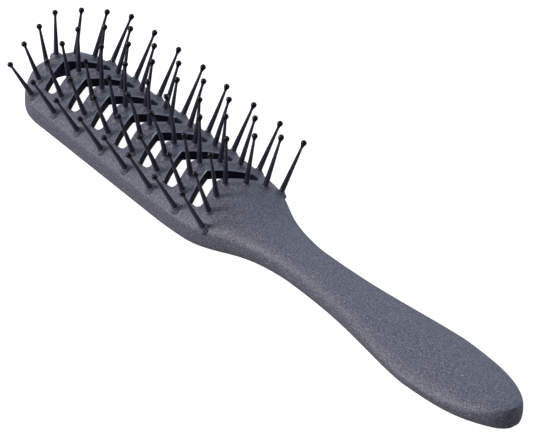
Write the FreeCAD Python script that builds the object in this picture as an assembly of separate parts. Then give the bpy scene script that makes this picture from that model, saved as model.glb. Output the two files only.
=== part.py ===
"""Vent brush, moulded in one piece: an arched hollow head with V-shaped vents between its rows of
ball-tipped pins, a narrow neck and a flat oval handle. It lies on its back with the pins up.
+X runs from the head's tip to the handle's end, and the origin is under the middle of the brush."""

import math
import os

import FreeCAD
import Part

V = FreeCAD.Vector

# Head, in millimetres
head_width = 30.6
head_depth = 10.5
head_length = 75.0
arch_radius = 23.0
shoulder_in = 4.6
side_height = 4.5
side_draft = 5.0
rim_radius = 0.9
tip_length = 14.2
tip_squareness = 2.25
tip_round_in = 5.0
tip_round_drop = 3.4
tip_rise = 1.9
hollow_past_pins = 7.5
hollow_end_length = 10.0
plate_thickness = 3.2
skirt_thickness = 2.6

# Rows of pins, counted from the tip
pin_rows = 8
pin_columns = 7
first_row = 3.0
last_row_past_head = 9.9
outer_pin_in = 1.967
chevron_angle = 30.0
last_row_squeeze = 0.96

# One pin, from the top of its boss to the centre of its ball
pin_length = 14.0
pin_root_diameter = 1.35
pin_neck_diameter = 0.62
ball_diameter = 1.4
ball_taper = 1.5
boss_height = 0.85
boss_base_diameter = 2.7
boss_top_diameter = 1.8
boss_sink = 1.2
pin_lean = 7.0
pin_fan = 8.8
# Pins that use has bent: row and column, then degrees towards the handle and to the far side
bent_pins = {(5, 3): (-7.4, -2.3), (6, 2): (1.6, -5.8), (6, 3): (-8.4, -3.9), (6, 4): (-9.4, -3.5)}

# One vent
vent_width = 5.1
vent_shift = 0.3
vent_end_in = 4.8
vent_end_radius = 1.7
vent_point_radius = 2.0

# Neck and handle
neck_length = 45.0
neck_width = 12.1
neck_rise = 0.2
handle_length = 80.2
handle_width = 20.2
handle_thickness = 7.5
handle_rise = 2.6
handle_crown_radius = 18.0
handle_end_length = 28.5
handle_end_thinning = 0.35
grip_shoulder_in = 3.4
grip_side_height = 3.8
grip_edge_radius = 3.2

# Shape of the outline: how far along, and how much of the wider width is reached there
NECK_PROFILE = (
    (0.10, 0.98), (0.22, 0.945), (0.33, 0.86), (0.45, 0.655), (0.565, 0.41),
    (0.68, 0.225), (0.80, 0.1), (0.91, 0.03), (1.0, 0.0),
)
HANDLE_PROFILE = ((0.145, 0.055), (0.275, 0.22), (0.40, 0.515), (0.53, 0.85), (0.60, 0.97))

# Where the sections stand: degrees round the head's tip and round the handle's end, and how far
# along the even part of the head, where few are needed
TIP_ANGLES = (7, 16, 28, 42, 58, 74, 90)
END_ANGLES = (0, 20, 38, 54, 68, 79, 86)
HEAD_STATIONS = (0.05, 0.13, 0.87, 1.0)

# Sections at which the skin's faces meet, and how many faces lie across each edge of a section
SKIN_JOINTS = (3, 7, 10, 15, 19, 24)
EDGE_PARTS = (2, 4, 1, 4, 1, 4, 1, 4)

# Flat sides of a pin, and the heights of its ball's rings as degrees of latitude
PIN_SIDES = 6
BALL_LATITUDES = (-38, 0, 38, 70)

# Every edge of a section is a curve of this degree, and its side is this one, counted from the top
DEGREE = 3
SIDE = 2

# Share of the way to the meeting of two sides at which a rounded corner's poles stand
CORNER_ROUNDNESS = 0.58

# How far a cut starts outside the surface that it goes through
CUT_REACH = 1.0

length = head_length + neck_length + handle_length
middle = length / 2
chevron_slope = math.tan(math.radians(chevron_angle))

# The rows fill the head, and the outermost pins keep their distance from its sides
row_pitch = (head_length + last_row_past_head - first_row) / (pin_rows - 1)
boss_circle = arch_radius + boss_height
outer_column = (pin_columns - 1) / 2
column_angle = math.degrees(math.asin((head_width / 2 - outer_pin_in) / boss_circle)) / outer_column


def blend(start, end, share):
    return start + (end - start) * share


def smooth(share):
    return share ** 2 * (3 - 2 * share)


def straight(start, end):
    """The poles of a straight edge, as many as a curved one has."""
    step = (end - start) / DEGREE
    return [start + step * index for index in range(DEGREE + 1)]


def corner(start, start_along, end, end_along):
    """The poles of a rounded corner that leaves start and reaches end along these directions."""
    across = end - start
    turn = start_along.y * end_along.z - start_along.z * end_along.y
    reach_start = (across.y * end_along.z - across.z * end_along.y) / turn
    meeting = start + start_along * reach_start
    return [
        start,
        start + (meeting - start) * CORNER_ROUNDNESS,
        end + (meeting - end) * CORNER_ROUNDNESS,
        end,
    ]


def arch_height(y, crown, radius):
    """Height of an arched top at y."""
    return crown - radius + math.sqrt(radius ** 2 - y ** 2)


def section(x, half, base, crown, radius, inset, side_top, draft, toe):
    """A section across the brush as a ring of edges, each given by its poles: arched top, rounded
    shoulders, drafted sides, rounded lower edges and flat base."""
    lean = math.tan(math.radians(draft))
    arch_edge = half - inset
    arch_edge_height = arch_height(arch_edge, crown, radius)
    slope = arch_edge / math.sqrt(radius ** 2 - arch_edge ** 2)
    side_foot = base + toe

    top_right = V(x, arch_edge, arch_edge_height)
    shoulder_right = V(x, half - lean * (side_top - base), side_top)
    foot_right = V(x, half - lean * toe, side_foot)
    base_right = V(x, half - toe, base)
    mirror = [V(p.x, -p.y, p.z) for p in (top_right, shoulder_right, foot_right, base_right)]
    top_left, shoulder_left, foot_left, base_left = mirror

    along_arch = V(0, 1, -slope)
    along_side = V(0, -lean, 1)
    arch_third = arch_edge * 2 / DEGREE
    return [
        [
            top_left,
            top_left + V(0, arch_third, arch_third * slope),
            top_right + V(0, -arch_third, arch_third * slope),
            top_right,
        ],
        corner(top_right, along_arch, shoulder_right, along_side),
        straight(shoulder_right, foot_right),
        corner(foot_right, along_side, base_right, V(0, 1, 0)),
        straight(base_right, base_left),
        corner(base_left, V(0, 1, 0), foot_left, V(0, lean, 1)),
        straight(foot_left, shoulder_left),
        corner(shoulder_left, V(0, lean, 1), top_left, V(0, 1, slope)),
    ]


def cap(ring):
    """The flat face that closes the skin at its first or last section."""
    edges = []
    for poles, parts in zip(ring, EDGE_PARTS):
        for part in range(parts):
            curve = Part.BezierCurve()
            curve.setPoles(poles)
            curve.segment(part / parts, (part + 1) / parts)
            edges.append(curve.toShape())
    return Part.Face(Part.Wire(edges))


def skin(rings):
    """A solid whose surface runs smoothly through a row of sections. Each edge's strip is parted
    across and along into faces that stay nearly straight one way, which keeps the facets few."""
    stations = [0.0]
    for before, after in zip(rings, rings[1:]):
        stations.append(stations[-1] + before[SIDE][0].distanceToPoint(after[SIDE][0]))
    joints = [stations[0]] + [stations[index] for index in SKIN_JOINTS] + [stations[-1]]
    faces = [cap(rings[0]), cap(rings[-1])]
    for edge, parts in enumerate(EDGE_PARTS):
        rows = []
        for pole in range(DEGREE + 1):
            row = Part.BSplineCurve()
            row.interpolate(Points=[ring[edge][pole] for ring in rings], Parameters=stations)
            rows.append(row)
        knots = rows[0].getKnots()
        mults = rows[0].getMultiplicities()
        poles = [list(column) for column in zip(*[row.getPoles() for row in rows])]
        ends = [DEGREE + 1, DEGREE + 1]
        surface = Part.BSplineSurface()
        surface.buildFromPolesMultsKnots(
            poles, mults, ends, knots, [0.0, 1.0], False, False, rows[0].Degree, DEGREE
        )
        for start, end in zip(joints, joints[1:]):
            for part in range(parts):
                face = surface.copy()
                face.segment(start, end, part / parts, (part + 1) / parts)
                faces.append(face.toShape())
    shell = Part.makeShell(faces)
    shell.sewShape()
    solid = Part.Solid(shell)
    if solid.Volume < 0:
        solid.reverse()
    return solid


def round_end(end_half, end_length):
    """Distances from the extreme of a rounded end, and the half width at each."""
    power = 2 / tip_squareness
    for angle in TIP_ANGLES:
        turned = math.radians(angle)
        yield end_length * (1 - math.cos(turned) ** power), end_half * math.sin(turned) ** power


def tip_lift(x):
    """How far the head's rim has risen from the table at this distance from the tip."""
    return tip_rise * max(0.0, 1 - x / tip_length) ** 2


def head_section(x, half, front_drop=0.0):
    """A section of the head, its top lowered by front_drop."""
    return section(
        x - middle,
        half,
        tip_lift(x),
        head_depth - front_drop,
        arch_radius,
        shoulder_in * half / (head_width / 2),
        side_height,
        side_draft,
        rim_radius,
    )


def tip_sections():
    """Sections through the head's rounded tip."""
    rings = []
    for from_front, half in round_end(head_width / 2, tip_length):
        beyond = max(0.0, 1 - from_front / tip_round_in)
        front_drop = tip_round_drop * (1 - math.sqrt(1 - beyond ** 2))
        rings.append(head_section(from_front, half, front_drop))
    return rings


def handle_lift(along):
    """How far the handle's back has risen from the table at this share of its length."""
    return blend(neck_rise, handle_rise, along)


def handle_section(x, half, rise, head_share=0.0, end_share=0.0):
    """A section of the neck or handle; head_share is how much of the head's form is left."""
    narrow = min(1.0, 2 * half / neck_width)
    body_share = smooth(head_share)
    thinned = handle_thickness * end_share / 2
    return section(
        x - middle,
        half,
        rise + thinned,
        rise + blend(handle_thickness, head_depth - rise, body_share) - thinned,
        blend(handle_crown_radius, arch_radius, head_share),
        blend(grip_shoulder_in, shoulder_in, head_share) * narrow,
        rise + blend(grip_side_height, side_height - rise, head_share),
        blend(0.0, side_draft, head_share),
        blend(grip_edge_radius, rim_radius, body_share) * narrow * (1 - end_share),
    )


def body():
    """The outside of head, neck and handle as one smooth skin."""
    rings = tip_sections()
    for share in HEAD_STATIONS:
        rings.append(head_section(blend(tip_length, head_length, share), head_width / 2))
    for along, share in NECK_PROFILE:
        x = head_length + neck_length * along
        half = blend(neck_width, head_width, share) / 2
        rings.append(handle_section(x, half, neck_rise * smooth(along), share))
    handle_start = head_length + neck_length
    for along, share in HANDLE_PROFILE:
        x = handle_start + handle_length * along
        half = blend(neck_width, handle_width, share) / 2
        rings.append(handle_section(x, half, handle_lift(along)))
    for angle in END_ANGLES:
        turned = math.radians(angle)
        x = length - handle_end_length * (1 - math.sin(turned))
        half = handle_width / 2 * math.cos(turned)
        rise = handle_lift((x - handle_start) / handle_length)
        thinning = handle_end_thinning * (angle / 90) ** 2
        rings.append(handle_section(x, half, rise, 0.0, thinning))
    return skin(rings)


def hollow():
    """The space inside the head, open at the back: it follows the outline at the skirt's thickness,
    and its arched ceiling lies under the top at the plate's."""
    inner = head_width / 2 - skirt_thickness
    front = skirt_thickness - middle
    back = first_row + row_pitch * (pin_rows - 1) + hollow_past_pins - middle
    ends = []
    for extreme, inward, end_length in ((front, 1, tip_length), (back, -1, hollow_end_length)):
        far_side = [V(extreme + inward * x, y, -CUT_REACH) for x, y in round_end(inner, end_length)]
        near_side = [V(point.x, -point.y, point.z) for point in reversed(far_side)]
        end = Part.BSplineCurve()
        end.interpolate(near_side + [V(extreme, 0, -CUT_REACH)] + far_side)
        ends.append(end.toShape())
    sides = [
        Part.LineSegment(ends[0].Vertexes[side].Point, ends[1].Vertexes[side].Point).toShape()
        for side in range(2)
    ]
    outline = Part.Wire([ends[0], sides[1], ends[1], sides[0]])
    ceiling = Part.makeCylinder(
        arch_radius - plate_thickness, length, V(-middle, 0, head_depth - arch_radius), V(1, 0, 0)
    )
    return Part.Face(outline).extrude(V(0, 0, head_depth + CUT_REACH)).common(ceiling)


def rounded_outline(corners):
    """A closed wire through corners, each rounded by its own radius."""
    ends = []
    count = len(corners)
    for index, (point, radius) in enumerate(corners):
        before = corners[index - 1][0]
        after = corners[(index + 1) % count][0]
        back = (before - point).normalize()
        on = (after - point).normalize()
        half_turn = back.getAngle(on) / 2
        reach = radius / math.tan(half_turn)
        centre = point + (back + on).normalize() * (radius / math.sin(half_turn)) if radius else point
        mid = centre + (point - centre).normalize() * radius if radius else point
        ends.append((point + back * reach, mid, point + on * reach, radius))
    edges = []
    for index, (start, mid, end, radius) in enumerate(ends):
        if radius:
            edges.append(Part.Arc(start, mid, end).toShape())
        edges.append(Part.LineSegment(end, ends[(index + 1) % count][0]).toShape())
    return Part.Wire(edges)


def vent(row):
    """The slot between this row and the next: two arms that meet in a point over the middle."""
    gap_start = first_row + row_pitch * (row - 0.5) - vent_width / 2 - middle + vent_shift
    point_near = V(gap_start, 0, 0)
    point_far = V(gap_start + vent_width, 0, 0)
    vent_end = head_width / 2 - vent_end_in
    end_x = chevron_slope * vent_end
    corners = [
        (point_near, 0.0),
        (V(gap_start + end_x, vent_end, 0), vent_end_radius),
        (V(gap_start + vent_width + end_x, vent_end, 0), vent_end_radius),
        (point_far, vent_point_radius),
        (V(gap_start + vent_width + end_x, -vent_end, 0), vent_end_radius),
        (V(gap_start + end_x, -vent_end, 0), vent_end_radius),
    ]
    return Part.Face(rounded_outline(corners)).extrude(V(0, 0, head_depth + CUT_REACH))


def pin_blank():
    """A boss with its pin and ball, upright: rings of corners on the round shape, joined by flat
    facets, few of them because every pin has them all."""
    ball = ball_diameter / 2
    sunk = boss_height + boss_sink
    widening = (boss_base_diameter - boss_top_diameter) / 2 / boss_height
    profile = [
        (-sunk, boss_top_diameter / 2 + widening * sunk),
        (0.0, boss_top_diameter / 2),
        (0.0, pin_root_diameter / 2),
        (pin_length - ball_taper, pin_neck_diameter / 2),
    ]
    for latitude in BALL_LATITUDES:
        turned = math.radians(latitude)
        profile.append((pin_length + ball * math.sin(turned), ball * math.cos(turned)))
    rings = []
    for height, radius in profile:
        ring = []
        for side in range(PIN_SIDES):
            turned = math.radians(360 * side / PIN_SIDES)
            ring.append(V(radius * math.cos(turned), radius * math.sin(turned), height))
        rings.append(ring + ring[:1])
    faces = [Part.Face(Part.makePolygon(ring)) for ring in (rings[0], rings[-1])]
    for low, high in zip(rings, rings[1:]):
        for side in range(PIN_SIDES):
            corners = [low[side], low[side + 1], high[side + 1], high[side], low[side]]
            faces.append(Part.Face(Part.makePolygon(corners)))
    return Part.Solid(Part.makeShell(faces))


def pin(row, column):
    """One pin on its boss, fanned out from the middle column and leaning to the handle."""
    steps = column - 1 - outer_column
    on_arch = math.radians(column_angle * steps)
    squeeze = last_row_squeeze if row == pin_rows else 1.0
    y = boss_circle * math.sin(on_arch) * squeeze
    z = head_depth - arch_radius + boss_circle * math.cos(on_arch)
    x = first_row + row_pitch * (row - 1) + chevron_slope * abs(y) - middle
    lean, sway = bent_pins.get((row, column), (0.0, 0.0))
    shape = pin_blank()
    shape.rotate(V(0, 0, 0), V(1, 0, 0), -pin_fan * steps - sway)
    shape.rotate(V(0, 0, 0), V(0, 1, 0), pin_lean + lean)
    shape.translate(V(x, y, z))
    return shape


def brush():
    """Head, neck and handle with their pins, hollowed from the back and cut through between rows."""
    rows = range(1, pin_rows + 1)
    columns = range(1, pin_columns + 1)
    vents = [vent(row) for row in rows[:-1]]
    shape = body().cut([hollow()] + vents)
    for row in rows:
        shape = shape.fuse([pin(row, column) for column in columns])
    return shape


def main():
    os.makedirs("parts", exist_ok=True)
    shape = brush().removeSplitter()
    shape.exportStep("parts/vent_brush.step")
    print("solids", len(shape.Solids), "valid", shape.isValid(), "volume", round(shape.Volume, 1))


main()
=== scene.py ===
import math

import bmesh
import bpy
from bpy.props import FloatProperty, FloatVectorProperty, IntProperty, PointerProperty
from bpy.types import Operator, Panel, PropertyGroup
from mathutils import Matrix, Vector


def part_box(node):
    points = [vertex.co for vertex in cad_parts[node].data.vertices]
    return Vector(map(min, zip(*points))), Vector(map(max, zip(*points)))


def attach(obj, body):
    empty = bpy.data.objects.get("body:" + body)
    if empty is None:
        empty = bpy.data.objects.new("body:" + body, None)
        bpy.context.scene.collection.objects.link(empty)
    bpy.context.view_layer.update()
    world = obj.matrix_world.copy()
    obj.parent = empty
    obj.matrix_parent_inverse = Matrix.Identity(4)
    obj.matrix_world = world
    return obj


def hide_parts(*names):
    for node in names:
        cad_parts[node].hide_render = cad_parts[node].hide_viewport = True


bl_info = {
    "name": "Vent Brush",
    "version": (1, 0, 0),
    "blender": (4, 5, 0),
    "location": "3D View > Sidebar > Vent Brush",
    "description": "Builds a one-piece vent brush with ball-tipped pins, its plastic and its studio",
    "category": "Add Mesh",
}

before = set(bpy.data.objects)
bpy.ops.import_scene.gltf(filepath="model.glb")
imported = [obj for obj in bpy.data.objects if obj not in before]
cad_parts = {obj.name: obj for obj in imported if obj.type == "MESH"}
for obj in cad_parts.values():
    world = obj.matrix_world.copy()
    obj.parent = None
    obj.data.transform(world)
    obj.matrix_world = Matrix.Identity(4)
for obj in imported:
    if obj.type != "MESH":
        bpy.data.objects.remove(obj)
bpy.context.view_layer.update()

NODE = "vent_brush"
BODY = "root"
BRUSH_LOW, BRUSH_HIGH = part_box(NODE)
LENGTH = BRUSH_HIGH.x - BRUSH_LOW.x

# Shape of the outline: how far along the neck or handle, and how much of the wider width is there
NECK_PROFILE = (
    (0.10, 0.98), (0.22, 0.945), (0.33, 0.86), (0.45, 0.655), (0.565, 0.41),
    (0.68, 0.225), (0.80, 0.1), (0.91, 0.03), (1.0, 0.0),
)
HANDLE_PROFILE = ((0.145, 0.055), (0.275, 0.22), (0.40, 0.515), (0.53, 0.85), (0.60, 0.97))
TIP_ANGLES = (7, 16, 28, 42, 58, 74, 90)
END_ANGLES = (0, 20, 38, 54, 68, 79, 86)
HEAD_STATIONS = (0.05, 0.13, 0.3, 0.5, 0.7, 0.87, 1.0)

# The smaller section outside each end: how far out it lies, and its share of the end's size
CAP_STEP = 0.00008
CAP_SHARE = 0.62

# How far a rounded corner's handles reach towards the point where its two sides would meet
CORNER_REACH = 0.58

# The ring that each section is shaped from, and how near to its place a point is to be picked
RING_RADIUS = 0.01
RING_NEAR = 2e-5
NEAR = 1e-6

# The blank of the hollow: its height, the middle of its height, how far it goes on below the rim,
# and the faces round it and round its arched ceiling
HOLLOW_DEPTH = 0.012
HOLLOW_MIDDLE = 0.0064
HOLLOW_BELOW = 0.004
HOLLOW_SIDES = 96
CEILING_SIDES = 192

# The blank of a vent: faces round a corner, strips along the V, and how far it stands over the arch
VENT_CORNER_FACES = 8
VENT_STRIPS = 34
VENT_ABOVE = 0.001

# A body with fewer faces has lost a part to its cuts
FEWEST_BODY_FACES = 5000

# Edges of the body and of a pin that turn by more than this stay sharp
SHARP_BODY_EDGE = math.radians(28)
SHARP_PIN_EDGE = math.radians(40)

# The pin: where its root leaves the boss, shares of the way from there to the ball, the ball's
# latitudes, the share of the taper that is the ball's plastic, and the height that it bends from
ROOT_SEAT = 0.0002
SHANK_SHARES = (0.12, 0.25, 0.38, 0.5, 0.62, 0.74, 0.87, 1.0)
BALL_LATITUDES = (-40, -22, -6, 8, 24, 42, 60, 76)
BALL_SHARE = 0.55
BEND_FROM = 0.001

# Values of the noise between which the grain rises and the warm and cool flecks come in
GRAIN_RISE = (0.36, 0.62)
WARM_RISE = (0.60, 0.74)
COOL_RISE = (0.40, 0.27)

# How reflective the pins, the vents' walls, their broken edges and the balls are
PIN_SHINE = 0.5
WALL_SHINE = 0.25
EDGE_SHINE = 0.7
BALL_SHINE = 0.3

# The room: where the white backdrop stands, how its light comes in with direction, and its colour
BACKDROP = (-0.6, 0.72, 0.35)
BACKDROP_RISE = (-0.35, 0.75)
ROOM_COLOUR = (0.84, 0.91, 1.0)

# The lamps: their place, size and colour
KEY_LAMP = ((-0.8, -1.85, 1.4), 1.0, (1.0, 0.97, 0.94))
RIM_LAMP = ((0.25, 1.5, 0.62), 0.45, (0.78, 0.87, 1.0))

# Pins that use has bent: row and column, then how far the ball has moved towards the handle and the
# far side, in metres
BENT_PINS = {
    (1, 7): (-0.0006, 0.0006),
    (2, 7): (-0.0011, 0.0009),
    (3, 7): (-0.0011, 0.0009),
    (4, 3): (-0.0006, 0.0002),
    (4, 7): (-0.0011, 0.0009),
    (5, 3): (-0.0021, -0.0004),
    (5, 4): (-0.0004, -0.0003),
    (5, 7): (0.0, -0.0005),
    (6, 1): (-0.0006, 0.0003),
    (6, 2): (-0.0003, -0.0010),
    (6, 3): (-0.0026, -0.0007),
    (6, 4): (-0.0029, -0.0006),
    (6, 5): (0.0002, -0.0010),
    (7, 4): (-0.0010, 0.0005),
    (7, 5): (-0.0005, -0.0004),
    (8, 1): (-0.0004, 0.0005),
}


class BodySizes(PropertyGroup):
    """Sizes of the head, neck and handle."""

    head_width: FloatProperty(
        name="Head Width", description="Width of the head", default=0.0306, unit="LENGTH")
    head_depth: FloatProperty(
        name="Head Depth", description="Height of the head over its rim", default=0.0105, unit="LENGTH")
    head_length: FloatProperty(
        name="Head Length", description="From the tip to where the neck begins", default=0.075,
        unit="LENGTH")
    arch_radius: FloatProperty(
        name="Arch Radius", description="Radius of the arched top", default=0.023, unit="LENGTH")
    shoulder_in: FloatProperty(
        name="Shoulder", description="How far the rounded shoulder reaches in from the side",
        default=0.0046, unit="LENGTH")
    side_height: FloatProperty(
        name="Side Height", description="Height of the straight side", default=0.0045, unit="LENGTH")
    side_draft: FloatProperty(
        name="Side Draft", description="Lean of the side", default=math.radians(5), unit="ROTATION")
    rim_radius: FloatProperty(
        name="Rim Radius", description="Rounding of the rim", default=0.0014, unit="LENGTH")
    tip_length: FloatProperty(
        name="Tip Length", description="Length of the rounded tip", default=0.0142, unit="LENGTH")
    tip_squareness: FloatProperty(
        name="Tip Squareness", description="2 is an ellipse, more is squarer", default=2.25)
    tip_round_in: FloatProperty(
        name="Tip Round Length", description="How far in the tip's top edge is rounded",
        default=0.005, unit="LENGTH")
    tip_round_drop: FloatProperty(
        name="Tip Round Drop", description="How far the rounding drops", default=0.0034, unit="LENGTH")
    tip_rise: FloatProperty(
        name="Tip Rise", description="Height of the rim at the tip", default=0.0019, unit="LENGTH")
    tip_scoop: FloatProperty(
        name="Tip Scoop", description="Further rise of the rim in the middle of the tip",
        default=0.0024, unit="LENGTH")
    plate_thickness: FloatProperty(
        name="Plate Thickness", description="Thickness of the head's top", default=0.0029,
        unit="LENGTH")
    skirt_thickness: FloatProperty(
        name="Skirt Thickness", description="Thickness of the head's sides", default=0.0026,
        unit="LENGTH")
    hollow_length: FloatProperty(
        name="Hollow Length", description="From the tip to the end of the hollow", default=0.0924,
        unit="LENGTH")
    hollow_end: FloatProperty(
        name="Hollow End", description="Length of the hollow's rounded end", default=0.010,
        unit="LENGTH")
    neck_length: FloatProperty(
        name="Neck Length", description="Length of the neck", default=0.045, unit="LENGTH")
    neck_width: FloatProperty(
        name="Neck Width", description="Least width of the neck", default=0.0125, unit="LENGTH")
    neck_rise: FloatProperty(
        name="Neck Rise", description="Height of the neck's back", default=0.0002, unit="LENGTH")
    handle_width: FloatProperty(
        name="Handle Width", description="Greatest width of the handle", default=0.0209,
        unit="LENGTH")
    handle_thickness: FloatProperty(
        name="Handle Thickness", description="Thickness of the handle", default=0.0075,
        unit="LENGTH")
    handle_rise: FloatProperty(
        name="Handle Rise", description="Height of the back at the handle's end", default=0.0026,
        unit="LENGTH")
    handle_crown: FloatProperty(
        name="Handle Crown", description="Radius of the handle's top", default=0.018, unit="LENGTH")
    handle_end_length: FloatProperty(
        name="Handle End Length", description="Length of the handle's rounded end",
        default=0.0285, unit="LENGTH")
    end_squareness: FloatProperty(
        name="End Squareness", description="2 is an ellipse, more is squarer", default=2.15)
    handle_thinning: FloatProperty(
        name="Handle Thinning", description="Share of its thickness lost at the end", default=0.35,
        min=0, max=1, subtype="FACTOR")
    grip_shoulder: FloatProperty(
        name="Grip Shoulder", description="Width of the handle's rounded shoulder",
        default=0.0034, unit="LENGTH")
    grip_side: FloatProperty(
        name="Grip Side", description="Height of the handle's widest line", default=0.0038,
        unit="LENGTH")
    grip_radius: FloatProperty(
        name="Grip Radius", description="Rounding of the handle's lower edge", default=0.0032,
        unit="LENGTH")
    smoothness: IntProperty(
        name="Smoothness", description="Subdivision level of the body", default=2, min=1, max=3)


class VentSizes(PropertyGroup):
    """Sizes of the V-shaped vents."""

    width: FloatProperty(
        name="Vent Width", description="Width along the brush", default=0.0051, unit="LENGTH")
    reach: FloatProperty(
        name="Vent Reach", description="From the middle to the end of an arm", default=0.0099,
        unit="LENGTH")
    end_radius: FloatProperty(
        name="End Radius", description="Rounding of an arm's end", default=0.0017, unit="LENGTH")
    point_radius: FloatProperty(
        name="Point Radius", description="Rounding of the V's inner corner", default=0.002,
        unit="LENGTH")
    edge: FloatProperty(
        name="Edge", description="Size of the broken edge round a vent", default=0.00028,
        unit="LENGTH")


class PinSizes(PropertyGroup):
    """Sizes of the pins and of the pattern that they stand in."""

    rows: IntProperty(name="Rows", description="Rows of pins", default=8, min=1)
    columns: IntProperty(name="Columns", description="Pins in a row", default=7, min=1)
    first_row: FloatProperty(
        name="First Row", description="From the tip to the first row", default=0.003, unit="LENGTH")
    row_pitch: FloatProperty(
        name="Row Pitch", description="From row to row", default=0.0117, unit="LENGTH")
    column_angle: FloatProperty(
        name="Column Angle", description="From column to column round the arch",
        default=math.radians(11.33), unit="ROTATION")
    chevron_angle: FloatProperty(
        name="Chevron Angle", description="Slant of the rows and vents",
        default=math.radians(30), unit="ROTATION")
    last_row_squeeze: FloatProperty(
        name="Last Row Squeeze", description="Outermost pins of the last row against the others",
        default=0.935, min=0, max=1, subtype="FACTOR")
    last_row_drop: FloatProperty(
        name="Last Row Drop", description="How much lower the last row is seated",
        default=0.0005, unit="LENGTH")
    length: FloatProperty(
        name="Pin Length", description="From the boss to the middle of the ball", default=0.014,
        unit="LENGTH")
    root_diameter: FloatProperty(
        name="Root Diameter", description="Pin at its boss", default=0.00148, unit="LENGTH")
    neck_diameter: FloatProperty(
        name="Neck Diameter", description="Pin under its ball", default=0.00070, unit="LENGTH")
    ball_diameter: FloatProperty(
        name="Ball Diameter", description="Ball tip", default=0.0016, unit="LENGTH")
    ball_taper: FloatProperty(
        name="Ball Taper", description="From the pin's neck to the middle of its ball",
        default=0.0015, unit="LENGTH")
    boss_height: FloatProperty(
        name="Boss Height", description="Height of the low cone under a pin", default=0.00085,
        unit="LENGTH")
    boss_base: FloatProperty(
        name="Boss Base", description="Boss at its foot", default=0.0035, unit="LENGTH")
    boss_top: FloatProperty(
        name="Boss Top", description="Boss at its top", default=0.0019, unit="LENGTH")
    lean: FloatProperty(
        name="Lean", description="Lean towards the handle", default=math.radians(7),
        unit="ROTATION")
    fan: FloatProperty(
        name="Fan", description="Turn outwards from column to column", default=math.radians(8.8),
        unit="ROTATION")
    sides: IntProperty(name="Sides", description="Faces round a pin", default=20, min=8)


class PlasticLook(PropertyGroup):
    """Colours and finish of the plastic."""

    charcoal: FloatVectorProperty(
        name="Charcoal", description="Colour of the body", subtype="COLOR", size=3,
        default=(0.125, 0.130, 0.182), min=0, max=1)
    charcoal_deep: FloatVectorProperty(
        name="Deep Charcoal", description="Colour of the grain's hollows", subtype="COLOR", size=3,
        default=(0.046, 0.050, 0.078), min=0, max=1)
    warm_fleck: FloatVectorProperty(
        name="Warm Fleck", description="Colour of the warm flecks", subtype="COLOR", size=3,
        default=(0.31, 0.285, 0.28), min=0, max=1)
    cool_fleck: FloatVectorProperty(
        name="Cool Fleck", description="Colour of the cool flecks", subtype="COLOR", size=3,
        default=(0.23, 0.255, 0.33), min=0, max=1)
    pin_black: FloatVectorProperty(
        name="Pin Black", description="Colour of the pins", subtype="COLOR", size=3,
        default=(0.026, 0.029, 0.050), min=0, max=1)
    # Painted shade: the vents' walls are made near black, darker than the body's plastic, because they
    # lie in shadow
    wall_painted_shade: FloatVectorProperty(
        name="Wall Dark", description="Colour of the vents' walls", subtype="COLOR", size=3,
        default=(0.008, 0.009, 0.018), min=0, max=1)
    # Painted highlight: the vents' broken edges are made lighter and bluer than the body, in place of
    # the lamp's line of light along them
    edge_painted_highlight: FloatVectorProperty(
        name="Edge Worn", description="Colour of the vents' rubbed edges", subtype="COLOR", size=3,
        default=(0.17, 0.19, 0.27), min=0, max=1)
    ball_black: FloatVectorProperty(
        name="Ball Black", description="Colour of the ball tips", subtype="COLOR", size=3,
        default=(0.004, 0.004, 0.007), min=0, max=1)
    grain_size: FloatProperty(
        name="Grain Size", description="Size of the eroded grain", default=0.00038, unit="LENGTH")
    grain_depth: FloatProperty(
        name="Grain Depth", description="Depth of the eroded grain", default=0.00015,
        unit="LENGTH")
    body_roughness: FloatProperty(
        name="Body Roughness", description="Roughness of the grained plastic", default=0.45,
        min=0, max=1, subtype="FACTOR")
    pin_roughness: FloatProperty(
        name="Pin Roughness", description="Roughness of the pins", default=0.24, min=0, max=1,
        subtype="FACTOR")
    wall_roughness: FloatProperty(
        name="Wall Roughness", description="Roughness of the vents' walls", default=0.42,
        min=0, max=1, subtype="FACTOR")
    ball_roughness: FloatProperty(
        name="Ball Roughness", description="Roughness of the ball tips", default=0.06,
        min=0, max=1, subtype="FACTOR")


class StudioSetup(PropertyGroup):
    """Floor, lamps and camera."""

    floor_size: FloatProperty(
        name="Floor Size", description="Side of the floor", default=6.0, unit="LENGTH")
    floor_colour: FloatVectorProperty(
        name="Floor Colour", description="Colour of the floor", subtype="COLOR", size=3,
        default=(0.36, 0.36, 0.38), min=0, max=1)
    floor_glow: FloatProperty(
        name="Floor Glow", description="White that the camera sees in the floor", default=0.95)
    floor_mirrored: FloatProperty(
        name="Floor Mirrored", description="White that glossy surfaces see in the floor",
        default=0.08)
    room_strength: FloatProperty(
        name="Room Strength", description="Light from the camera's side of the room", default=0.03)
    backdrop_strength: FloatProperty(
        name="Backdrop Strength", description="Light from the white backdrop", default=0.82)
    key_power: FloatProperty(
        name="Key Power", description="Power of the large lamp", default=53.0, unit="POWER")
    rim_power: FloatProperty(
        name="Rim Power", description="Power of the cool lamp", default=4.0, unit="POWER")
    camera_place: FloatVectorProperty(
        name="Camera Place", description="Place of the camera", subtype="TRANSLATION", size=3,
        default=(0.46740, -0.31408, 0.39767), unit="LENGTH")
    camera_turn: FloatVectorProperty(
        name="Camera Turn", description="Turn of the camera", subtype="EULER", size=3,
        default=(math.radians(55.2041), math.radians(2.3836), math.radians(54.2840)))
    camera_lens: FloatProperty(
        name="Lens", description="Focal length of the camera", default=182.35, unit="CAMERA")


# Selecting and shaping


def only(piece):
    """Selects this object alone and makes it active."""
    bpy.ops.object.select_all(action="DESELECT")
    piece.select_set(True)
    bpy.context.view_layer.objects.active = piece


def start_edit():
    """Opens the active object for editing with nothing selected."""
    bpy.ops.object.mode_set(mode="EDIT")
    bpy.ops.mesh.select_mode(type="VERT")
    bpy.ops.mesh.select_all(action="DESELECT")


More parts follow.
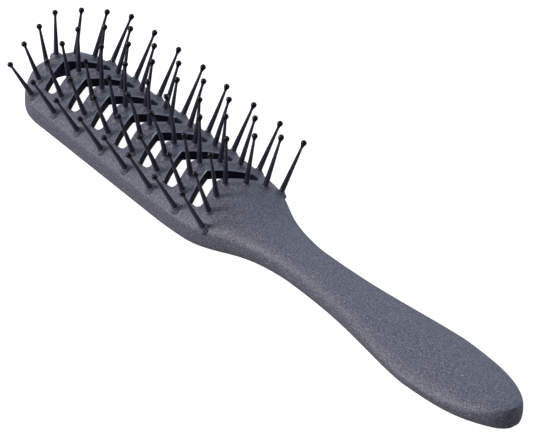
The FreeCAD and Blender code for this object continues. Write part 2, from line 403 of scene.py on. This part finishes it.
def end_edit():
    """Closes the active object."""
    bpy.ops.object.mode_set(mode="OBJECT")


def pick_points(test):
    """Selects the points of the open mesh whose place passes the test, and no others."""
    bpy.ops.mesh.select_mode(type="VERT")
    bpy.ops.mesh.select_all(action="DESELECT")
    mesh = bmesh.from_edit_mesh(bpy.context.object.data)
    for point in mesh.verts:
        if test(point.co):
            point.select = True
    mesh.select_flush_mode()
    bmesh.update_edit_mesh(bpy.context.object.data)


def pick_faces(test):
    """Selects the faces of the open mesh whose middle and normal pass the test, and no others."""
    bpy.ops.mesh.select_mode(type="FACE")
    bpy.ops.mesh.select_all(action="DESELECT")
    mesh = bmesh.from_edit_mesh(bpy.context.object.data)
    for face in mesh.faces:
        if test(face.calc_center_median(), face.normal):
            face.select = True
    mesh.select_flush_mode()
    bmesh.update_edit_mesh(bpy.context.object.data)


def apply_all(piece):
    """Applies every modifier of the piece in order."""
    only(piece)
    for modifier in list(piece.modifiers):
        bpy.ops.object.modifier_apply(modifier=modifier.name)


def cut_with(piece, tool, operation="DIFFERENCE"):
    """Cuts the piece with the tool, whose material the cut's faces take, and deletes the tool."""
    cut = piece.modifiers.new("Cut", "BOOLEAN")
    cut.operation = operation
    cut.solver = "EXACT"
    cut.material_mode = "TRANSFER"
    cut.object = tool
    apply_all(piece)
    only(tool)
    bpy.ops.object.delete()
    only(piece)


def smooth_by_angle(piece, angle):
    """Shades the piece smooth and keeps edges sharper than the angle."""
    only(piece)
    bpy.ops.object.shade_smooth_by_angle(angle=angle)


# Sections of the body


def blend(start, end, share):
    """The value this share of the way from start to end."""
    return start + (end - start) * share


def ease(share):
    """The share, eased in and out."""
    return share ** 2 * (3 - 2 * share)


def half_section(half, base, crown, radius, inset, side_top, draft, rim, scoop=0.0):
    """Half of a section across the brush, from the middle of its top to the middle of its base, as
    (y, z): arched top, rounded shoulder, drafted side, rounded lower edge and a base that is flat,
    or rises by the scoop in its middle."""
    lean = math.tan(draft)
    edge = half - inset

    def arch(y):
        return crown - radius + math.sqrt(radius ** 2 - y ** 2)

    slope = edge / math.sqrt(radius ** 2 - edge ** 2)
    top = Vector((edge, arch(edge)))
    side = Vector((half - lean * (side_top - base), side_top))
    foot = Vector((half - lean * rim, base + rim))
    flat = Vector((half - rim, base))
    points = [Vector((edge * share, arch(edge * share))) for share in (0.0, 0.33, 0.67, 1.0)]
    points += round_corner(top, Vector((1, -slope)), side, Vector((-lean, 1)), (0.25, 0.5, 0.75))
    points += [side, foot]
    points += round_corner(foot, Vector((-lean, 1)), flat, Vector((1, 0)), (0.5,))
    for share in (1.0, 0.67, 0.33, 0.0):
        points.append(Vector((flat.x * share, base + scoop * (1 - share ** 2))))
    return points


def round_corner(start, start_along, end, end_along, shares):
    """Points along the rounded corner between two sides."""
    across = end - start
    turn = start_along.x * end_along.y - start_along.y * end_along.x
    meeting = start + start_along * ((across.x * end_along.y - across.y * end_along.x) / turn)
    first = start + (meeting - start) * CORNER_REACH
    second = end + (meeting - end) * CORNER_REACH
    points = []
    for t in shares:
        s = 1 - t
        points.append(start * s ** 3 + first * 3 * s * s * t + second * 3 * s * t * t + end * t ** 3)
    return points


def body_sections(size):
    """Every section of the body from tip to end, as (x from the tip, half section)."""
    sections = []

    def head(x, half, front_drop=0.0):
        lift = size.tip_rise * max(0.0, 1 - x / size.tip_length) ** 2
        inset = size.shoulder_in * half / (size.head_width / 2)
        scoop = size.tip_scoop * max(0.0, 1 - x / size.tip_length)
        sections.append((x, half_section(
            half, lift, size.head_depth - front_drop, size.arch_radius, inset, size.side_height,
            size.side_draft, size.rim_radius, scoop)))

    def grip(x, half, rise, head_share=0.0, end_share=0.0):
        narrow = min(1.0, 2 * half / size.neck_width)
        body_share = ease(head_share)
        thinned = size.handle_thickness * end_share / 2
        sections.append((x, half_section(
            half,
            rise + thinned,
            rise + blend(size.handle_thickness, size.head_depth - rise, body_share) - thinned,
            blend(size.handle_crown, size.arch_radius, head_share),
            blend(size.grip_shoulder, size.shoulder_in, head_share) * narrow,
            rise + blend(size.grip_side, size.side_height - rise, head_share),
            blend(0.0, size.side_draft, head_share),
            blend(size.grip_radius, size.rim_radius, body_share) * narrow * (1 - end_share))))

    power = 2 / size.tip_squareness
    for angle in TIP_ANGLES:
        turned = math.radians(angle)
        x = size.tip_length * (1 - max(0.0, math.cos(turned)) ** power)
        beyond = max(0.0, 1 - x / size.tip_round_in)
        head(x, size.head_width / 2 * math.sin(turned) ** power,
             size.tip_round_drop * (1 - math.sqrt(1 - beyond ** 2)))
    for share in HEAD_STATIONS:
        head(blend(size.tip_length, size.head_length, share), size.head_width / 2)
    for along, share in NECK_PROFILE:
        half = blend(size.neck_width, size.head_width, share) / 2
        grip(size.head_length + size.neck_length * along, half, size.neck_rise * ease(along), share)
    start = size.head_length + size.neck_length
    for along, share in HANDLE_PROFILE:
        half = blend(size.neck_width, size.handle_width, share) / 2
        x = blend(start, LENGTH, along)
        grip(x, half, blend(size.neck_rise, size.handle_rise, along))
    fullness = 2 / size.end_squareness
    for angle in END_ANGLES:
        turned = math.radians(angle)
        x = LENGTH - size.handle_end_length * (1 - math.sin(turned) ** fullness)
        along = (x - start) / (LENGTH - start)
        grip(x, size.handle_width / 2 * math.cos(turned) ** fullness,
             blend(size.neck_rise, size.handle_rise, along), 0.0,
             size.handle_thinning * (angle / 90) ** 2)
    return [end_cap(sections[0], -1)] + sections + [end_cap(sections[-1], 1)]


def end_cap(section, outward):
    """A smaller section just outside the first or last one, which keeps the end from shrinking."""
    x, points = section
    middle = Vector((0, (points[0].y + points[-1].y) / 2))
    return x + outward * CAP_STEP, [middle + (point - middle) * CAP_SHARE for point in points]


def proud(before, point, after):
    """Moves a point out so that the smoothed surface passes through its old place."""
    return point + (point * 2 - before - after) / 6


def proud_section(points):
    """Moves a half section's points out, going round the section."""
    first = Vector((-points[1].x, points[1].y))
    last = Vector((-points[-2].x, points[-2].y))
    row = [first] + points + [last]
    return [proud(*row[index:index + 3]) for index in range(len(points))]


def proud_body(sections):
    """Moves all sections out, going round each one and then from tip to end."""
    rounds = [(x, proud_section(points)) for x, points in sections]
    cage = [rounds[0]]
    for before, here, after in zip(rounds, rounds[1:], rounds[2:]):
        points = [proud(*three) for three in zip(before[1], here[1], after[1])]
        cage.append((proud(before[0], here[0], after[0]), points))
    return cage + [rounds[-1]]


def extrude_sections(name, sections):
    """A closed cage pulled out of one ring, section by section, and shaped to each."""
    count = 2 * (len(sections[0][1]) - 1)
    first_x = sections[0][0] - LENGTH / 2
    bpy.ops.object.select_all(action="DESELECT")
    bpy.ops.mesh.primitive_circle_add(
        vertices=count, radius=RING_RADIUS, fill_type="NGON", location=(first_x, 0, 0),
        rotation=(math.radians(90), 0, math.radians(90)))
    cage = bpy.context.object
    cage.name = name
    cage.data.name = name
    bpy.ops.object.transform_apply(location=True, rotation=True, scale=True)
    start_edit()
    bpy.ops.mesh.select_all(action="SELECT")
    for before, after in zip(sections, sections[1:]):
        bpy.ops.mesh.extrude_region_move(
            TRANSFORM_OT_translate={"value": (after[0] - before[0], 0, 0)})
    for x, points in sections:
        shape_ring(x - LENGTH / 2, points)
    bpy.ops.mesh.select_all(action="SELECT")
    bpy.ops.mesh.normals_make_consistent(inside=False)
    end_edit()
    return cage


def shape_ring(x, points):
    """Moves one ring of the open cage from its circle to the section, a pair of points at a time."""
    steps = len(points) - 1
    for index, target in enumerate(points):
        angle = math.pi * index / steps
        y = RING_RADIUS * math.sin(angle)
        z = RING_RADIUS * math.cos(angle)
        pick_points(lambda co: abs(co.x - x) < NEAR and abs(abs(co.y) - y) < RING_NEAR
                    and abs(co.z - z) < RING_NEAR)
        if 0 < index < steps:
            bpy.ops.transform.resize(value=(1, target.x / y, 1), center_override=(x, 0, 0))
        bpy.ops.transform.translate(value=(0, 0, target.y - z))


# Body


def add_hollow_tool(size):
    """The space inside the head: a long rounded outline under an arched ceiling."""
    inner = size.head_width / 2 - size.skirt_thickness
    front = size.skirt_thickness - LENGTH / 2
    back = size.hollow_length - LENGTH / 2
    bpy.ops.object.select_all(action="DESELECT")
    bpy.ops.mesh.primitive_cylinder_add(
        vertices=HOLLOW_SIDES, radius=inner, depth=HOLLOW_DEPTH, location=(0, 0, HOLLOW_MIDDLE))
    tool = bpy.context.object
    bpy.ops.object.transform_apply(location=True, rotation=True, scale=True)
    start_edit()
    for side, extreme, end_length in ((-1, front, size.tip_length), (1, back, size.hollow_end)):
        pick_points(lambda co: co.x * side > 10 * NEAR)
        bpy.ops.transform.resize(value=(end_length / inner, 1, 1), center_override=(0, 0, 0))
        bpy.ops.transform.translate(value=(extreme - side * end_length, 0, 0))
    pick_points(lambda co: abs(co.x) < 10 * NEAR)
    bpy.ops.transform.translate(value=(front + size.tip_length, 0, 0))
    pick_faces(lambda middle, normal: normal.z < -0.9)
    edge = size.rim_radius * 0.5
    centre = ((front + back) / 2, 0, 0)
    wide = (1 + 2 * edge / (back - front), 1 + edge / inner, 1)
    bpy.ops.mesh.extrude_region_move(TRANSFORM_OT_translate={"value": (0, 0, -edge)})
    bpy.ops.transform.resize(value=wide, center_override=centre)
    bpy.ops.mesh.extrude_region_move(TRANSFORM_OT_translate={"value": (0, 0, -HOLLOW_BELOW)})
    end_edit()
    bpy.ops.object.select_all(action="DESELECT")
    bpy.ops.mesh.primitive_cylinder_add(
        vertices=CEILING_SIDES, radius=size.arch_radius - size.plate_thickness, depth=LENGTH,
        location=(0, 0, size.head_depth - size.arch_radius), rotation=(0, math.radians(90), 0))
    ceiling = bpy.context.object
    bpy.ops.object.transform_apply(location=True, rotation=True, scale=True)
    cut_with(tool, ceiling, "INTERSECT")
    return tool


def add_vent_tool(size, vent, pins):
    """One vent as a solid: the V drawn flat and its corners rounded, then laid on the arch and
    pulled down through the plate, a little wider at the top for a broken edge."""
    slope = math.tan(pins.chevron_angle)
    wide = vent.width + 2 * vent.edge
    reach = vent.reach + vent.edge
    end_x = slope * reach
    bpy.ops.object.select_all(action="DESELECT")
    bpy.ops.mesh.primitive_grid_add(
        x_subdivisions=1, y_subdivisions=2, size=1, location=(0, 0, 0))
    tool = bpy.context.object
    tool.scale = (wide, 2 * reach, 1)
    bpy.ops.object.transform_apply(location=True, rotation=True, scale=True)
    start_edit()
    pick_points(lambda co: abs(co.y) > reach / 2)
    bpy.ops.transform.translate(value=(end_x, 0, 0))
    pick_points(lambda co: abs(co.y) < reach / 2)
    bpy.ops.mesh.dissolve_edges(use_verts=False)
    sharp = math.tan((math.radians(90) - pins.chevron_angle) / 2)
    blunt = math.tan((math.radians(90) + pins.chevron_angle) / 2)
    for radius, corner, turn in (
        (vent.end_radius, lambda co: abs(co.y) > reach - NEAR and co.x > end_x, sharp),
        (vent.end_radius, lambda co: abs(co.y) > reach - NEAR and co.x < end_x, blunt),
        (vent.point_radius, lambda co: abs(co.y) < NEAR and co.x > 0, blunt),
    ):
        pick_points(corner)
        bpy.ops.mesh.bevel(offset=radius / turn, segments=VENT_CORNER_FACES, affect="VERTICES")
    for index in range(1, VENT_STRIPS):
        bpy.ops.mesh.select_all(action="SELECT")
        bpy.ops.mesh.bisect(
            plane_co=(0, reach * (2 * index / VENT_STRIPS - 1), 0), plane_no=(0, 1, 0))
    for y in sorted({round(abs(v.co.y), 7) for v in bmesh.from_edit_mesh(tool.data).verts}):
        pick_points(lambda co: abs(abs(co.y) - y) < NEAR / 5)
        drop = size.arch_radius - math.sqrt(size.arch_radius ** 2 - y ** 2)
        bpy.ops.transform.translate(value=(0, 0, size.head_depth - drop))
    bpy.ops.mesh.select_all(action="SELECT")
    bpy.ops.mesh.extrude_region_move(TRANSFORM_OT_translate={"value": (0, 0, VENT_ABOVE)})
    bpy.ops.mesh.select_all(action="SELECT")
    bpy.ops.mesh.normals_make_consistent(inside=False)
    pick_faces(lambda middle, normal: normal.z < -0.5)
    bpy.ops.mesh.inset(thickness=vent.edge, depth=vent.edge, use_even_offset=True)
    bpy.ops.mesh.extrude_region_move(
        TRANSFORM_OT_translate={"value": (0, 0, -size.plate_thickness * 2)})
    bpy.ops.mesh.select_all(action="SELECT")
    bpy.ops.mesh.normals_make_consistent(inside=False)
    end_edit()
    return tool


def place_vents(tool, pins):
    """The vent's tool copied into every gap between the rows, all in one object."""
    copies = []
    for row in range(1, pins.rows):
        x = pins.first_row + pins.row_pitch * (row - 0.5) - LENGTH / 2
        only(tool)
        bpy.ops.object.duplicate(linked=False)
        copy = bpy.context.object
        copy.location = (x, 0, 0)
        copies.append(copy)
    only(tool)
    bpy.ops.object.delete()
    for copy in copies:
        copy.select_set(True)
    bpy.context.view_layer.objects.active = copies[0]
    bpy.ops.object.join()
    bpy.ops.object.transform_apply(location=True, rotation=True, scale=True)
    return bpy.context.object


class VENTBRUSH_OT_add_body(Operator):
    """Builds the head, neck and handle as one smooth shell with its hollow and vents"""

    bl_idname = "ventbrush.add_body"
    bl_label = "Add Body"

    def execute(self, context):
        scene = context.scene
        size, vent, pins = scene.brush_body, scene.brush_vents, scene.brush_pins
        look = scene.brush_plastic
        body = extrude_sections("brush_body", proud_body(body_sections(size)))
        body.data.materials.append(grained_plastic(look))
        smoothing = body.modifiers.new("Smooth", "SUBSURF")
        smoothing.levels = size.smoothness
        smoothing.render_levels = size.smoothness
        apply_all(body)
        hollow = add_hollow_tool(size)
        hollow.data.materials.append(grained_plastic(look))
        cut_with(body, hollow)
        opening = add_vent_tool(size, vent, pins)
        # The cut walls take the near-black painted shade, and the slanted broken edges the lighter,
        # bluish painted highlight
        for material in (wall_shade_plastic(look), edge_highlight_plastic(look)):
            opening.data.materials.append(material)
        for face in opening.data.polygons:
            slanted = -0.9 < face.normal.z < -0.4
            face.material_index = 1 if slanted else 0
        cut_with(body, place_vents(opening, pins))
        if len(body.data.polygons) < FEWEST_BODY_FACES:
            raise RuntimeError("the body's cuts left too little of it")
        smooth_by_angle(body, SHARP_BODY_EDGE)
        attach(body, BODY)
        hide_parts(NODE)
        return {"FINISHED"}


# Pins


def pin_outline(pins):
    """Heights and radii up the pin, from the boss's foot inside the plate to the top of the ball."""
    root = pins.root_diameter / 2
    neck = pins.neck_diameter / 2
    ball = pins.ball_diameter / 2
    top = pins.boss_top / 2
    foot = pins.boss_base / 2
    low = -pins.boss_height
    outline = [
        (low * 2.2, foot * 0.9),
        (low * 1.3, foot * 1.04),
        (low * 1.0, foot),
        (low * 0.75, blend(top, foot, 0.62)),
        (low * 0.45, blend(top, foot, 0.3)),
        (low * 0.15, blend(top, foot, 0.06)),
        (low * 0.03, top * 0.96),
        (0.0, top * 0.88),
        (ROOT_SEAT * 0.15, root * 1.1),
        (ROOT_SEAT, root),
    ]
    under_ball = pins.length - pins.ball_taper
    for share in SHANK_SHARES:
        outline.append((blend(ROOT_SEAT, under_ball, share), blend(root, neck, share)))
    outline.append((blend(under_ball, pins.length, 0.4), blend(neck, ball, 0.2)))
    for latitude in BALL_LATITUDES:
        turned = math.radians(latitude)
        outline.append((pins.length + ball * math.sin(turned), ball * math.cos(turned)))
    return outline


def add_pin_blank(pins):
    """One upright pin on its boss, pulled out of a circle ring by ring."""
    outline = pin_outline(pins)
    bpy.ops.object.select_all(action="DESELECT")
    bpy.ops.mesh.primitive_circle_add(
        vertices=pins.sides, radius=outline[0][1], fill_type="NGON", location=(0, 0, outline[0][0]))
    blank = bpy.context.object
    bpy.ops.object.transform_apply(location=True, rotation=True, scale=True)
    start_edit()
    bpy.ops.mesh.select_all(action="SELECT")
    for (low, wide), (high, narrow) in zip(outline, outline[1:]):
        bpy.ops.mesh.extrude_region_move(TRANSFORM_OT_translate={"value": (0, 0, high - low)})
        bpy.ops.transform.resize(
            value=(narrow / wide, narrow / wide, 1), center_override=(0, 0, high))
    bpy.ops.mesh.poke()
    bpy.ops.mesh.select_all(action="SELECT")
    bpy.ops.mesh.normals_make_consistent(inside=False)
    end_edit()
    return blank


def bend_pin(pins, across):
    """Bends the open upright pin sideways, more and more towards its ball, at an even length."""
    mesh = bmesh.from_edit_mesh(bpy.context.object.data)
    heights = {round(point.co.z, 6) for point in mesh.verts if point.co.z > BEND_FROM}
    far = math.hypot(*across)
    for height in sorted(heights, reverse=True):
        share = (height / pins.length) ** 2
        fall = far ** 2 * height ** 3 / pins.length ** 4 / 1.5
        pick_points(lambda co: abs(co.z - height) < 2 * NEAR)
        bpy.ops.transform.translate(value=(across[0] * share, across[1] * share, -fall))


def finish_pin_blank(blank, pins, look):
    """Gives the blank its shading, and the boss, the pin and the ball their own plastic."""
    smooth_by_angle(blank, SHARP_PIN_EDGE)
    blank.data.materials.clear()
    for material in (grained_plastic(look), pin_plastic(look), ball_plastic(look)):
        blank.data.materials.append(material)
    for face in blank.data.polygons:
        height = face.center.z
        if height > pins.length - pins.ball_taper * BALL_SHARE:
            face.material_index = 2
        elif height > 0:
            face.material_index = 1


def stand_pin(pin, size, pins, row, steps):
    """Stands an upright pin in its row, this many steps from the row's middle."""
    last = row == pins.rows
    outwards = abs(steps) * 2 / (pins.columns - 1)
    squeeze = blend(1.0, pins.last_row_squeeze, outwards ** 2) if last else 1.0
    drop = pins.last_row_drop if last else 0.0
    around = size.arch_radius + pins.boss_height
    y = around * math.sin(pins.column_angle * steps) * squeeze
    z = size.head_depth - size.arch_radius + around * math.cos(pins.column_angle * steps)
    slant = math.tan(pins.chevron_angle) * abs(y)
    x = pins.first_row + pins.row_pitch * (row - 1) + slant - LENGTH / 2
    pin.rotation_euler = (-pins.fan * steps, pins.lean, 0)
    pin.scale = (1, 1, 1 + drop / pins.length)
    pin.location = (x, y, z - drop)
    bpy.ops.object.transform_apply(location=True, rotation=True, scale=True)


class VENTBRUSH_OT_add_pins(Operator):
    """Models one pin with its boss and ball, and stands a copy at every place of the pattern"""

    bl_idname = "ventbrush.add_pins"
    bl_label = "Add Pins"

    def execute(self, context):
        scene = context.scene
        size, pins, look = scene.brush_body, scene.brush_pins, scene.brush_plastic
        blank = add_pin_blank(pins)
        finish_pin_blank(blank, pins, look)
        for row in range(1, pins.rows + 1):
            for column in range(1, pins.columns + 1):
                only(blank)
                bpy.ops.object.duplicate(linked=False)
                pin = bpy.context.object
                pin.name = f"pin_{row}_{column}"
                pin.data.name = pin.name
                if (row, column) in BENT_PINS:
                    start_edit()
                    bend_pin(pins, BENT_PINS[(row, column)])
                    end_edit()
                stand_pin(pin, size, pins, row, column - (pins.columns + 1) / 2)
                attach(pin, BODY)
                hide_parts(NODE)
        only(blank)
        bpy.ops.object.delete()
        return {"FINISHED"}


# Plastic


def new_material(name):
    """An empty material with a shader and its output."""
    material = bpy.data.materials.new(name)
    material.use_nodes = True
    nodes = material.node_tree.nodes
    nodes.clear()
    output = nodes.new("ShaderNodeOutputMaterial")
    shader = nodes.new("ShaderNodeBsdfPrincipled")
    material.node_tree.links.new(shader.outputs["BSDF"], output.inputs["Surface"])
    return material, nodes, material.node_tree.links, shader


def noise(nodes, links, place, size, detail, roughness):
    """A noise of this size in metres."""
    node = nodes.new("ShaderNodeTexNoise")
    node.inputs["Scale"].default_value = 1 / size
    node.inputs["Detail"].default_value = detail
    node.inputs["Roughness"].default_value = roughness
    links.new(place, node.inputs["Vector"])
    return node.outputs["Fac"]


def ramp(nodes, links, value, source, target=(0.0, 1.0)):
    """Spreads a value from the source's two ends to the target's."""
    node = nodes.new("ShaderNodeMapRange")
    for name, number in zip(("From Min", "From Max", "To Min", "To Max"), (*source, *target)):
        node.inputs[name].default_value = number
    links.new(value, node.inputs["Value"])
    return node.outputs["Result"]


def mix_colour(nodes, links, share, first, second):
    """Mixes two colours; each is a socket or a plain colour."""
    node = nodes.new("ShaderNodeMix")
    node.data_type = "RGBA"
    links.new(share, node.inputs["Factor"])
    for socket, colour in ((node.inputs[6], first), (node.inputs[7], second)):
        if isinstance(colour, bpy.types.NodeSocket):
            links.new(colour, socket)
        else:
            socket.default_value = (*colour, 1.0)
    return node.outputs[2]


def bump(nodes, links, height, depth):
    """A bump of this depth in metres."""
    node = nodes.new("ShaderNodeBump")
    node.inputs["Strength"].default_value = 1.0
    node.inputs["Distance"].default_value = depth
    links.new(height, node.inputs["Height"])
    return node.outputs["Normal"]


def grained_plastic(look):
    """Charcoal plastic with a fine eroded grain and scattered warm and cool flecks."""
    known = bpy.data.materials.get("grained_plastic")
    if known:
        return known
    material, nodes, links, shader = new_material("grained_plastic")
    place = nodes.new("ShaderNodeTexCoord").outputs["Object"]
    grain = noise(nodes, links, place, look.grain_size, 2.0, 0.6)
    flecks = noise(nodes, links, place, look.grain_size * 0.9, 1.0, 0.4)
    clouds = noise(nodes, links, place, look.grain_size * 40, 3.0, 0.5)
    raised = ramp(nodes, links, grain, GRAIN_RISE)
    base = mix_colour(nodes, links, raised, look.charcoal_deep, look.charcoal)
    warm = mix_colour(nodes, links, ramp(nodes, links, flecks, WARM_RISE), base, look.warm_fleck)
    cool = mix_colour(nodes, links, ramp(nodes, links, flecks, COOL_RISE), warm, look.cool_fleck)
    links.new(cool, shader.inputs["Base Color"])
    rough = (look.body_roughness - 0.05, look.body_roughness + 0.07)
    links.new(ramp(nodes, links, clouds, (0.0, 1.0), rough), shader.inputs["Roughness"])
    links.new(bump(nodes, links, grain, look.grain_depth), shader.inputs["Normal"])
    return material


def smooth_plastic(name, look, colour, roughness, shine):
    """The same plastic where it has no grain, in its own colour and shine, with faint drag marks."""
    known = bpy.data.materials.get(name)
    if known:
        return known
    material, nodes, links, shader = new_material(name)
    place = nodes.new("ShaderNodeTexCoord").outputs["Object"]
    drag = noise(nodes, links, place, look.grain_size * 4, 2.0, 0.5)
    lighter = [channel * 1.6 for channel in colour]
    links.new(mix_colour(nodes, links, drag, colour, lighter), shader.inputs["Base Color"])
    shader.inputs["Roughness"].default_value = roughness
    shader.inputs["Specular IOR Level"].default_value = shine
    links.new(bump(nodes, links, drag, look.grain_depth * 0.4), shader.inputs["Normal"])
    return material


def pin_plastic(look):
    """The pins' smooth plastic."""
    return smooth_plastic("pin_plastic", look, look.pin_black, look.pin_roughness, PIN_SHINE)


def wall_shade_plastic(look):
    """The vents' walls in smooth plastic made near black, far darker than the body: painted shade where
    they lie in shadow.
    """
    return smooth_plastic("wall_shade_plastic", look, look.wall_painted_shade, look.wall_roughness, WALL_SHINE)


def edge_highlight_plastic(look):
    """The vents' broken edges, shiny and painted lighter and bluish than the body: a painted highlight.
    """
    return smooth_plastic("edge_highlight_plastic", look, look.edge_painted_highlight, look.pin_roughness, EDGE_SHINE)


def ball_plastic(look):
    """The ball tips, polished by use."""
    known = bpy.data.materials.get("ball_plastic")
    if known:
        return known
    material, nodes, links, shader = new_material("ball_plastic")
    place = nodes.new("ShaderNodeTexCoord").outputs["Object"]
    scuffs = noise(nodes, links, place, look.grain_size, 3.0, 0.6)
    rough = (look.ball_roughness, look.ball_roughness + 0.12)
    links.new(ramp(nodes, links, scuffs, (0.0, 1.0), rough), shader.inputs["Roughness"])
    lighter = [channel * 1.8 for channel in look.ball_black]
    links.new(mix_colour(nodes, links, scuffs, look.ball_black, lighter), shader.inputs["Base Color"])
    shader.inputs["Specular IOR Level"].default_value = BALL_SHINE
    return material


# Studio


def floor_material(studio):
    """A pale floor that takes shadows and shows the camera a white ground."""
    material, nodes, links, shader = new_material("pale_floor")
    shader.inputs["Base Color"].default_value = (*studio.floor_colour, 1.0)
    shader.inputs["Roughness"].default_value = 0.9
    shader.inputs["Specular IOR Level"].default_value = 0.0
    glow = nodes.new("ShaderNodeEmission")
    glow.inputs["Color"].default_value = (1, 1, 1, 1)
    path = nodes.new("ShaderNodeLightPath")
    mirrored = nodes.new("ShaderNodeMath")
    mirrored.operation = "MULTIPLY"
    mirrored.inputs[1].default_value = studio.floor_mirrored
    links.new(path.outputs["Is Glossy Ray"], mirrored.inputs[0])
    strength = nodes.new("ShaderNodeMath")
    strength.operation = "MULTIPLY_ADD"
    strength.inputs[1].default_value = studio.floor_glow
    links.new(path.outputs["Is Camera Ray"], strength.inputs[0])
    links.new(mirrored.outputs[0], strength.inputs[2])
    links.new(strength.outputs[0], glow.inputs["Strength"])
    both = nodes.new("ShaderNodeAddShader")
    links.new(shader.outputs["BSDF"], both.inputs[0])
    links.new(glow.outputs["Emission"], both.inputs[1])
    output = next(node for node in nodes if node.type == "OUTPUT_MATERIAL")
    links.new(both.outputs[0], output.inputs["Surface"])
    return material


def backdrop_light(nodes, links, studio):
    """The world's strength: bright where the backdrop stands, dim on the camera's side."""
    direction = nodes.new("ShaderNodeTexCoord").outputs["Generated"]
    towards = nodes.new("ShaderNodeVectorMath")
    towards.operation = "DOT_PRODUCT"
    towards.inputs[1].default_value = BACKDROP
    links.new(direction, towards.inputs[0])
    strengths = (studio.room_strength, studio.backdrop_strength)
    spread = ramp(nodes, links, towards.outputs["Value"], BACKDROP_RISE, strengths)
    spread.node.interpolation_type = "SMOOTHSTEP"
    return spread


def studio_world(studio):
    """Soft light from the room, and a white ground for the camera."""
    world = bpy.data.worlds.new("studio_world")
    world.use_nodes = True
    nodes, links = world.node_tree.nodes, world.node_tree.links
    nodes.clear()
    output = nodes.new("ShaderNodeOutputWorld")
    soft = nodes.new("ShaderNodeBackground")
    soft.inputs["Color"].default_value = (*ROOM_COLOUR, 1)
    links.new(backdrop_light(nodes, links, studio), soft.inputs["Strength"])
    white = nodes.new("ShaderNodeBackground")
    white.inputs["Color"].default_value = (1, 1, 1, 1)
    white.inputs["Strength"].default_value = 1.0
    seen = nodes.new("ShaderNodeMixShader")
    path = nodes.new("ShaderNodeLightPath")
    links.new(path.outputs["Is Camera Ray"], seen.inputs["Fac"])
    links.new(soft.outputs[0], seen.inputs[1])
    links.new(white.outputs[0], seen.inputs[2])
    links.new(seen.outputs[0], output.inputs["Surface"])
    return world


def add_lamp(name, place, size, colour, power):
    """A square soft lamp that looks at the middle of the brush."""
    bpy.ops.object.select_all(action="DESELECT")
    bpy.ops.object.light_add(type="AREA", location=place)
    lamp = bpy.context.object
    lamp.name = name
    lamp.data.shape = "SQUARE"
    lamp.data.size = size
    lamp.data.energy = power
    lamp.data.color = colour
    lamp.rotation_euler = (-Vector(place)).to_track_quat("-Z", "Y").to_euler()


class VENTBRUSH_OT_add_studio(Operator):
    """Lays the floor, lights it softly and sets the camera at the photograph's angle"""

    bl_idname = "ventbrush.add_studio"
    bl_label = "Add Studio"

    def execute(self, context):
        scene = context.scene
        studio = scene.brush_studio
        bpy.ops.object.select_all(action="DESELECT")
        bpy.ops.mesh.primitive_plane_add(size=studio.floor_size, location=(0, 0, 0))
        floor = context.object
        floor.name = "floor"
        floor.data.materials.append(floor_material(studio))
        scene.world = studio_world(studio)
        add_lamp("key_lamp", *KEY_LAMP, studio.key_power)
        add_lamp("rim_lamp", *RIM_LAMP, studio.rim_power)
        bpy.ops.object.select_all(action="DESELECT")
        bpy.ops.object.camera_add(location=studio.camera_place, rotation=studio.camera_turn)
        camera = context.object
        camera.name = "camera"
        camera.data.lens = studio.camera_lens
        camera.data.clip_start = 0.01
        camera.data.clip_end = 20
        scene.camera = camera
        scene.view_settings.view_transform = "Standard"
        return {"FINISHED"}


class VENTBRUSH_PT_panel(Panel):
    """The sizes, colours and steps of the vent brush"""

    bl_idname = "VENTBRUSH_PT_panel"
    bl_label = "Vent Brush"
    bl_space_type = "VIEW_3D"
    bl_region_type = "UI"
    bl_category = "Vent Brush"

    def draw(self, context):
        layout = self.layout
        for operator in OPERATORS:
            layout.operator(operator.bl_idname)
        for title, group in GROUPS:
            box = layout.box()
            box.label(text=title)
            settings = getattr(context.scene, group)
            for name in settings.__annotations__:
                box.prop(settings, name)


OPERATORS = (VENTBRUSH_OT_add_body, VENTBRUSH_OT_add_pins, VENTBRUSH_OT_add_studio)
GROUPS = (
    ("Body", "brush_body"),
    ("Vents", "brush_vents"),
    ("Pins", "brush_pins"),
    ("Plastic", "brush_plastic"),
    ("Studio", "brush_studio"),
)
GROUP_TYPES = (BodySizes, VentSizes, PinSizes, PlasticLook, StudioSetup)


def register():
    """Makes the groups, operators and panel known, and gives each scene the groups."""
    for group in GROUP_TYPES:
        bpy.utils.register_class(group)
    for operator in OPERATORS:
        bpy.utils.register_class(operator)
    bpy.utils.register_class(VENTBRUSH_PT_panel)
    for (title, name), group in zip(GROUPS, GROUP_TYPES):
        setattr(bpy.types.Scene, name, PointerProperty(type=group, name=title))


def unregister():
    """Takes back what register did."""
    for title, name in GROUPS:
        delattr(bpy.types.Scene, name)
    bpy.utils.unregister_class(VENTBRUSH_PT_panel)
    for operator in reversed(OPERATORS):
        bpy.utils.unregister_class(operator)
    for group in reversed(GROUP_TYPES):
        bpy.utils.unregister_class(group)


def main():
    """Builds the brush and its studio."""
    register()
    bpy.ops.ventbrush.add_body()
    bpy.ops.ventbrush.add_pins()
    bpy.ops.ventbrush.add_studio()


if __name__ == "__main__":
    main()
